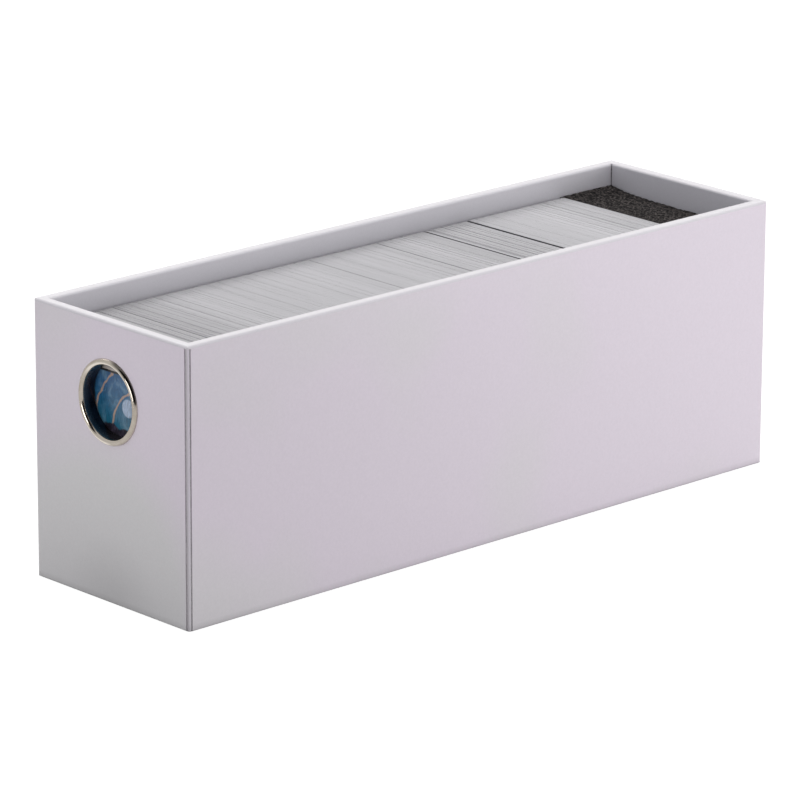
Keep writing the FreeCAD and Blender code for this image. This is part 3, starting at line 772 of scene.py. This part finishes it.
# Each pack: how many cards, the share of their height lost to wear and to uneven trimming,
# how pale their edges are at even steps from the front to the back, how much that varies
# from card to card, and where the row opens: (how far along, gap at the left wall, gap at
# the right), in millimetres. "reach" is how far the cards spread into the gap before and
# after the pack, and "endRoom" is what they leave open at its end.
cardPacks = {
    1: {"cards": 76, "uneven": 0.09, "vary": 0.045, "reach": (0.0, 0.1),
        "shade": (0.93, 0.92, 0.91, 0.86),
        "gaps": [(0.42, 0.0, 0.05), (0.70, 0.02, 0.06), (0.88, 0.0, 0.16)]},
    2: {"cards": 77, "uneven": 0.08, "vary": 0.035, "reach": (0.05, 0.15),
        "shade": (0.86, 0.86, 0.88, 0.99, 0.98),
        "gaps": [(0.10, 0.0, 0.06), (0.27, 0.06, 0.16), (0.61, 0.05, 0.03)]},
    3: {"cards": 77, "uneven": 0.045, "vary": 0.02, "reach": (0.15, 0.15),
        "shade": (1.0, 1.0, 0.99, 0.97),
        "gaps": [(0.42, 0.02, 0.14), (0.80, 0.14, 0.04)]},
    4: {"cards": 74, "uneven": 0.045, "vary": 0.02, "reach": (0.15, 0.12),
        "shade": (0.98, 0.99, 1.0, 1.0),
        "gaps": [(0.48, 0.12, 0.03)]},
    5: {"cards": 64, "uneven": 0.045, "vary": 0.02, "reach": (0.12, 0.1),
        "shade": (1.0, 1.04, 1.03, 1.0, 0.95),
        "gaps": [(0.30, 0.04, 0.04)]},
    6: {"cards": 107, "uneven": 0.055, "vary": 0.025, "reach": (0.1, 0.0),
        "shade": (0.97, 1.0, 1.02, 1.03, 0.95),
        "gaps": [(0.26, 0.12, 0.08), (0.70, 0.03, 0.02)]},
    7: {"cards": 77, "uneven": 0.07, "vary": 0.03, "reach": (0.0, 0.0), "endRoom": 0.3,
        "shade": (0.94, 1.05, 1.07, 0.94, 0.88),
        "gaps": [(0.30, 0.04, 0.03), (0.72, 0.05, 0.03)]},
    8: {"cards": 70, "uneven": 0.11, "vary": 0.045, "reach": (0.0, 0.0), "endRoom": 0.85,
        "shade": (0.98, 0.95),
        "gaps": [(0.37, 0.22, 0.26), (0.68, 0.03, 0.06)]},
    9: {"cards": 78, "uneven": 0.05, "vary": 0.02, "reach": (0.0, 0.15),
        "shade": (0.985, 1.085),
        "gaps": [(0.60, 0.03, 0.02)]},
    10: {"cards": 80, "uneven": 0.07, "vary": 0.025, "reach": (0.15, 0.0),
         "shade": (1.16, 1.1, 1.03, 1.0, 1.01),
         "gaps": [(0.22, 0.10, 0.02), (0.55, 0.04, 0.08)]},
}


def cardOutline(width, height, corner, steps):
    # corners from the bottom right, counter-clockwise as seen from the front of the drawer
    outline = []
    for middleX, middleZ, start in (
        (width - corner, corner, -90), (width - corner, height - corner, 0),
        (corner, height - corner, 90), (corner, corner, 180),
    ):
        for step in range(steps + 1):
            angle = math.radians(start + 90 * step / steps)
            outline.append((middleX + corner * math.cos(angle), middleZ + corner * math.sin(angle)))
    return outline


def drawCard(points, faces, faceMaterials, outline, inset, left, bottom, front, thickness):
    # front holds the card's depth in the row at its left and at its right edge
    first = len(points)
    count = len(outline)
    width = max(x for x, z in outline)
    height = max(z for x, z in outline)
    layers = ((0.0, inset), (inset, 0.0), (thickness - inset, 0.0), (thickness, inset))
    for depth, drawnIn in layers:
        shrinkX = 1 - 2 * drawnIn / width
        shrinkZ = 1 - 2 * drawnIn / height
        for x, z in outline:
            share = x / width
            y = front[0] * (1 - share) + front[1] * share + depth
            points.append((left + drawnIn + x * shrinkX, y, bottom + drawnIn + z * shrinkZ))
    for layer in range(len(layers) - 1):
        here = first + layer * count
        for step in range(count):
            ahead = (step + 1) % count
            faces.append((here + step, here + ahead, here + count + ahead, here + count + step))
            faceMaterials.append(0)
    last = first + (len(layers) - 1) * count
    faces.append(tuple(first + step for step in reversed(range(count))))
    faceMaterials.append(1)
    faces.append(tuple(last + step for step in range(count)))
    faceMaterials.append(2)


def spreadGaps(count, length, thickness, opened, dice):
    # where each card starts when the spare room is shared out at random, apart from the gaps
    spare = length - count * thickness - sum(opened.values())
    weights = [dice.random() ** card["clumping"] for index in range(count)]
    starts = []
    depth = 0.0
    for index in range(count):
        depth += spare * weights[index] / sum(weights) + opened.get(index, 0.0)
        starts.append(depth)
        depth += thickness
    return starts


def betweenStops(stops, share):
    # the value at this share of the way along evenly spaced stops
    place = share * (len(stops) - 1)
    before = min(int(place), len(stops) - 2)
    part = place - before
    return stops[before] * (1 - part) + stops[before + 1] * part


def cardPiece(name, points, faces, faceMaterials, tones, seeds):
    # a mesh of cards that tells its finishes how pale each card is and which print it has
    piece = meshPiece(name, points, faces, [cardEdgeFinish, cardPrintFinish, cardBackFinish], faceMaterials)
    for attribute, values in (("cardTone", tones), ("cardSeed", seeds)):
        layer = piece.data.attributes.new(attribute, "FLOAT", "POINT")
        layer.data.foreach_set("value", values)
    return piece


def buildPack(number, look):
    low, high = (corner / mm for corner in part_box(f"card_pack_{number}"))
    dice = random.Random(card["firstDice"] + number)
    front = low.y - look["reach"][0]
    length = high.y + look["reach"][1] - look.get("endRoom", 0.0) - front
    count = look["cards"]
    openings = [{round(gap[0] * count): gap[side] for gap in look["gaps"]} for side in (1, 2)]
    widest = max(sum(opened.values()) for opened in openings)
    thickness = (length - widest - card["looseRoom"]) / count
    starts = [spreadGaps(count, length, thickness, opened, dice) for opened in openings]
    points, faces, faceMaterials, tones, seeds = [], [], [], [], []
    uneven = look["uneven"]
    packStep, cardStep = card["seedSteps"]
    wander = 0.0
    for index in range(count):
        share = index / (count - 1)
        wander = card["follow"] * wander + dice.uniform(-card["wander"], card["wander"]) * uneven
        worn = min(card["mostWorn"], abs(wander) + dice.random() ** card["wearBias"] * uneven)
        slip = dice.uniform(0, card["sideSlip"])
        outline = cardOutline(high.x - low.x - card["sideSlip"], high.z - low.z - worn,
                              card["corner"], card["cornerSteps"])
        before = len(points)
        drawCard(points, faces, faceMaterials, outline, card["edgeRound"], low.x + slip, low.z,
                 (front + starts[0][index], front + starts[1][index]), thickness)
        tone = betweenStops(look["shade"], share) * (1 + dice.gauss(0, card["toneSpread"]) * look["vary"])
        tones += [tone] * (len(points) - before)
        seeds += [number * packStep + index * cardStep] * (len(points) - before)
    pack = cardPiece(f"cards_{number}", points, faces, faceMaterials, tones, seeds)
    finishPiece(pack, f"pack_{number}", [f"card_pack_{number}"])


def buildFaceCard():
    low, high = (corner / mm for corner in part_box("face_card"))
    points, faces, faceMaterials = [], [], []
    outline = cardOutline(high.x - low.x, high.z - low.z, card["corner"], card["cornerSteps"])
    drawCard(points, faces, faceMaterials, outline, card["edgeRound"], low.x, low.z, (low.y, low.y),
             high.y - low.y)
    tones, seeds = [card["frontTone"]] * len(points), [card["frontSeed"]] * len(points)
    piece = cardPiece("front_card", points, faces, faceMaterials, tones, seeds)
    finishPiece(piece, "pack_1", ["face_card"])


buildFaceCard()
for number, look in cardPacks.items():
    buildPack(number, look)


print("stage: foam")

# The block in millimetres: how fine its skin is divided, how far the saw wandered, the pores
# that its skin is pitted with, how its edges are worn, and how its top sinks away from the
# left wall, which catches it.
foamBlock = {
    "grid": 0.6,
    "wander": 0.25,
    "wanderSize": 12.0,
    "poreSize": 1.5,
    "poreWidth": 0.45,  # as a share of that size
    "poreDepth": 0.5,
    "edgeWear": 0.5,
    "sag": 2.4,
    "sagReach": 10.0,
    "onFace": 0.001,  # a point this near a face lies on it
}


def buildFoam(look):
    low, high = (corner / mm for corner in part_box("foam_block"))
    size = high - low
    steps = [max(2, round(side / look["grid"])) for side in size]
    index = {}
    points = []
    faces = []

    def pointAt(i, j, k):
        key = (i, j, k)
        if key not in index:
            index[key] = len(points)
            points.append(Vector((low.x + size.x * i / steps[0], low.y + size.y * j / steps[1],
                                  low.z + size.z * k / steps[2])))
        return index[key]

    for axis in range(3):
        first, second = (axis + 1) % 3, (axis + 2) % 3
        for end in (0, steps[axis]):
            for a in range(steps[first]):
                for b in range(steps[second]):
                    loop = []
                    for da, db in ((0, 0), (1, 0), (1, 1), (0, 1)):
                        cell = [0, 0, 0]
                        cell[axis], cell[first], cell[second] = end, a + da, b + db
                        loop.append(pointAt(*cell))
                    faces.append(loop if end else loop[::-1])
    middle = (low + high) / 2
    skin = []
    for point in points:
        # inward from each face that the point lies on, so the block never outgrows its solid
        inward = Vector((0, 0, 0))
        edges = 0
        for axis in range(3):
            if min(abs(point[axis] - low[axis]), abs(point[axis] - high[axis])) < look["onFace"]:
                inward[axis] = 1 if point[axis] < middle[axis] else -1
                edges += 1
        drift = 0.5 + 0.5 * noise.noise(point / look["wanderSize"])  # from 0 to 1
        distance = noise.voronoi(point / look["poreSize"])[0][0]
        pit = max(0.0, 1 - distance / look["poreWidth"]) ** 0.5
        depth = look["wander"] * drift + look["poreDepth"] * pit + (look["edgeWear"] if edges > 1 else 0)
        if inward.z > 0:
            # the bottom stays flat on the floor
            depth = 0.0
        height = (point.z - low.z) / size.z
        sunk = look["sag"] * height * (1 - math.exp((low.x - point.x) / look["sagReach"]))
        skin.append(point + inward * depth - Vector((0, 0, sunk)))
    foam = meshPiece("foam_block_cut", skin, faces, [foamFinish], smooth=True)
    finishPiece(foam, "foam", ["foam_block"])


buildFoam(foamBlock)


print("stage: floor, lamps and camera")

# A white sweep: seen directly, or in the metal, it glows up to white, apart from the shadow.
# A painted shadow on it before the drawer, seen only by bounced light, keeps light off the foot of its
# front. Millimetres.
floor = {
    "radius": 7000.0,
    "rimSteps": 96,
    "drop": 0.1,
    "tone": "#969696",
    "shade": "#919191",
    "mottleSize": 250.0,
    "glow": 0.95,
    "glossyGlow": 0.5,
    "shadowShare": 0.5,
    # painted shadow on the floor before the drawer: its tone, middle and reach
    "paintedShadowTone": "#101010",
    "paintedShadowSpot": (0.0, -158.0, 0.0),
    "paintedShadowReach": (12.0, 68.0),
}

# The room's light, and round lamps that the camera doesn't see. Metres. One way, "room", is
# unlit, and shows as a dark patch in polished metal: "roomEdge" says how near to that way it
# fades in, and "roomLevel" how bright it stays.
studio = {
    "sky": "#F8F9FF",
    "skyStrength": 0.669,
    "backdrop": "#FFFFFF",
    "glossySky": 0.64,
    "room": (0.62, -0.72, 0.30),
    "roomEdge": (0.46, 0.60),
    "roomLevel": 0.02,
    "lamps": {
        "topLamp": {"place": (0.0, 0.45, 2.0), "aim": (0.0, 0.0, 0.05), "size": 1.0,
                    "power": 20.5, "tone": "#FFFAF5"},
        "leftLamp": {"place": (-1.1, 0.25, 0.95), "aim": (0.0, 0.0, 0.1), "size": 0.9,
                     "power": 6.5, "tone": "#FFFCFA"},
        "frontLamp": {"place": (0.0, -0.34, 0.1), "aim": (0.0, -0.14, 0.06), "size": 0.1,
                      "power": 0.123, "tone": "#FFFFFF"},
        "farSideLamp": {"place": (0.45, 0.28, 0.11), "aim": (0.04, 0.1, 0.05), "size": 0.15,
                        "power": 0.806, "tone": "#FFFFFF"},
        "sideLamp": {"place": (1.3, 0.1, 0.15), "aim": (0.04, 0.0, 0.05), "size": 0.5,
                     "power": 2.21, "tone": "#FFFFFF"},
    },
}

# Place in metres, turn in degrees, lens and sensor in millimetres.
viewpoint = {
    "place": (1.34490, -1.26340, 0.61144),
    "turn": (72.907, -0.249, 46.996),
    "lens": 243.9,
    "sensor": 36.0,
}


def sortRays(tree):
    # 1 for a ray that shows the white ground, and 1 for one that comes off polish
    camera, glossy, through = [
        addNode(tree, "LightPath", out=kind)
        for kind in ("Is Camera Ray", "Is Glossy Ray", "Is Transmission Ray")
    ]
    some = addNode(tree, "Math", {0: camera, 1: glossy}, operation="ADD")
    seen = addNode(tree, "Math", {0: some, 1: through}, operation="ADD", use_clamp=True)
    return seen, glossy


def makeFloor(name, look):
    material, tree = newMaterial(name)
    seen, glossy = sortRays(tree)
    place = addNode(tree, "TexCoord", out="Object")
    mottle = addNode(tree, "TexNoise", {"Vector": place, "Scale": perMetre(look["mottleSize"])})
    tone = addNode(tree, "MixRGB", {"Fac": mottle, "Color1": look["tone"], "Color2": look["shade"]})
    # a painted shadow before the drawer takes light away from it, and isn't seen itself
    spot = tuple(Vector(look["paintedShadowSpot"]) * mm)
    away = addNode(tree, "VectorMath", {0: place, 1: spot}, operation="DISTANCE", out="Value")
    near, far = look["paintedShadowReach"]
    dark = addNode(tree, "MapRange", {
        "Value": away, "From Min": near * mm, "From Max": far * mm, "To Min": 1.0, "To Max": 0.0,
    })
    unseen = addNode(tree, "Math", {0: 1.0, 1: seen}, operation="SUBTRACT")
    dark = addNode(tree, "Math", {0: dark, 1: unseen}, operation="MULTIPLY")
    tone = addNode(tree, "MixRGB", {"Fac": dark, "Color1": tone, "Color2": look["paintedShadowTone"]})
    paper = addNode(tree, "BsdfDiffuse", {"Color": tone})
    faint = addNode(tree, "MixShader", {"Fac": look["shadowShare"], 2: paper})
    strength = addNode(tree, "MapRange", {
        "Value": glossy, "To Min": look["glow"], "To Max": look["glossyGlow"],
    })
    glow = addNode(tree, "Emission", {"Strength": strength})
    white = addNode(tree, "AddShader", {0: faint, 1: glow})
    surface = addNode(tree, "MixShader", {"Fac": seen, 1: paper, 2: white})
    addNode(tree, "OutputMaterial", {"Surface": surface})
    return material


def buildFloor(look):
    count = look["rimSteps"]
    points = [(0.0, 0.0, -look["drop"])]
    for step in range(count):
        angle = 2 * math.pi * step / count
        points.append((look["radius"] * math.cos(angle), look["radius"] * math.sin(angle), -look["drop"]))
    faces = [(0, 1 + step, 1 + (step + 1) % count) for step in range(count)]
    sweep = meshPiece("floor_sweep", points, faces, [makeFloor("paperSweep", look)])


def lightStudio(look):
    world = bpy.data.worlds.new("studio")
    bpy.context.scene.world = world
    world.use_nodes = True
    tree = world.node_tree
    tree.nodes.clear()
    seen, glossy = sortRays(tree)
    heading = addNode(tree, "TexCoord", out="Generated")
    room = tuple(Vector(look["room"]).normalized())
    facing = addNode(tree, "VectorMath", {0: heading, 1: room}, operation="DOT_PRODUCT", out="Value")
    low, high = look["roomEdge"]
    patch = addNode(tree, "MapRange", {"Value": facing, "From Min": low, "From Max": high},
                    interpolation_type="SMOOTHSTEP")
    dark = addNode(tree, "Math", {0: patch, 1: glossy}, operation="MULTIPLY")
    level = addNode(tree, "MapRange", {"Value": glossy, "To Min": 1.0, "To Max": look["glossySky"]})
    unlit = addNode(tree, "MapRange", {"Value": dark, "To Min": 1.0, "To Max": look["roomLevel"]})
    shown = addNode(tree, "Math", {0: level, 1: unlit}, operation="MULTIPLY")
    ambient = addNode(tree, "Background", {"Color": look["sky"], "Strength": look["skyStrength"]})
    white = addNode(tree, "Background", {"Color": look["backdrop"], "Strength": shown})
    surface = addNode(tree, "MixShader", {"Fac": seen, 1: ambient, 2: white})
    addNode(tree, "OutputWorld", {"Surface": surface})
    for name, lamp in look["lamps"].items():
        data = bpy.data.lights.new(name, "AREA")
        data.shape = "DISK"
        data.size = lamp["size"]
        data.energy = lamp["power"]
        data.color = toLinear(lamp["tone"])[:3]
        light = bpy.data.objects.new(name, data)
        light.location = lamp["place"]
        aim = Vector(lamp["aim"]) - Vector(lamp["place"])
        light.rotation_euler = aim.to_track_quat("-Z", "Y").to_euler()
        light.visible_camera = False
        bpy.context.scene.collection.objects.link(light)


def setCamera(look):
    data = bpy.data.cameras.new("camera")
    data.sensor_width = look["sensor"]
    data.lens = look["lens"]
    camera = bpy.data.objects.new("camera", data)
    camera.location = look["place"]
    camera.rotation_euler = [math.radians(angle) for angle in look["turn"]]
    bpy.context.scene.collection.objects.link(camera)
    bpy.context.scene.camera = camera


buildFloor(floor)
lightStudio(studio)
setCamera(viewpoint)
bpy.context.scene.view_settings.view_transform = "Standard"

bpy.context.view_layer.update()
print("stage: done")
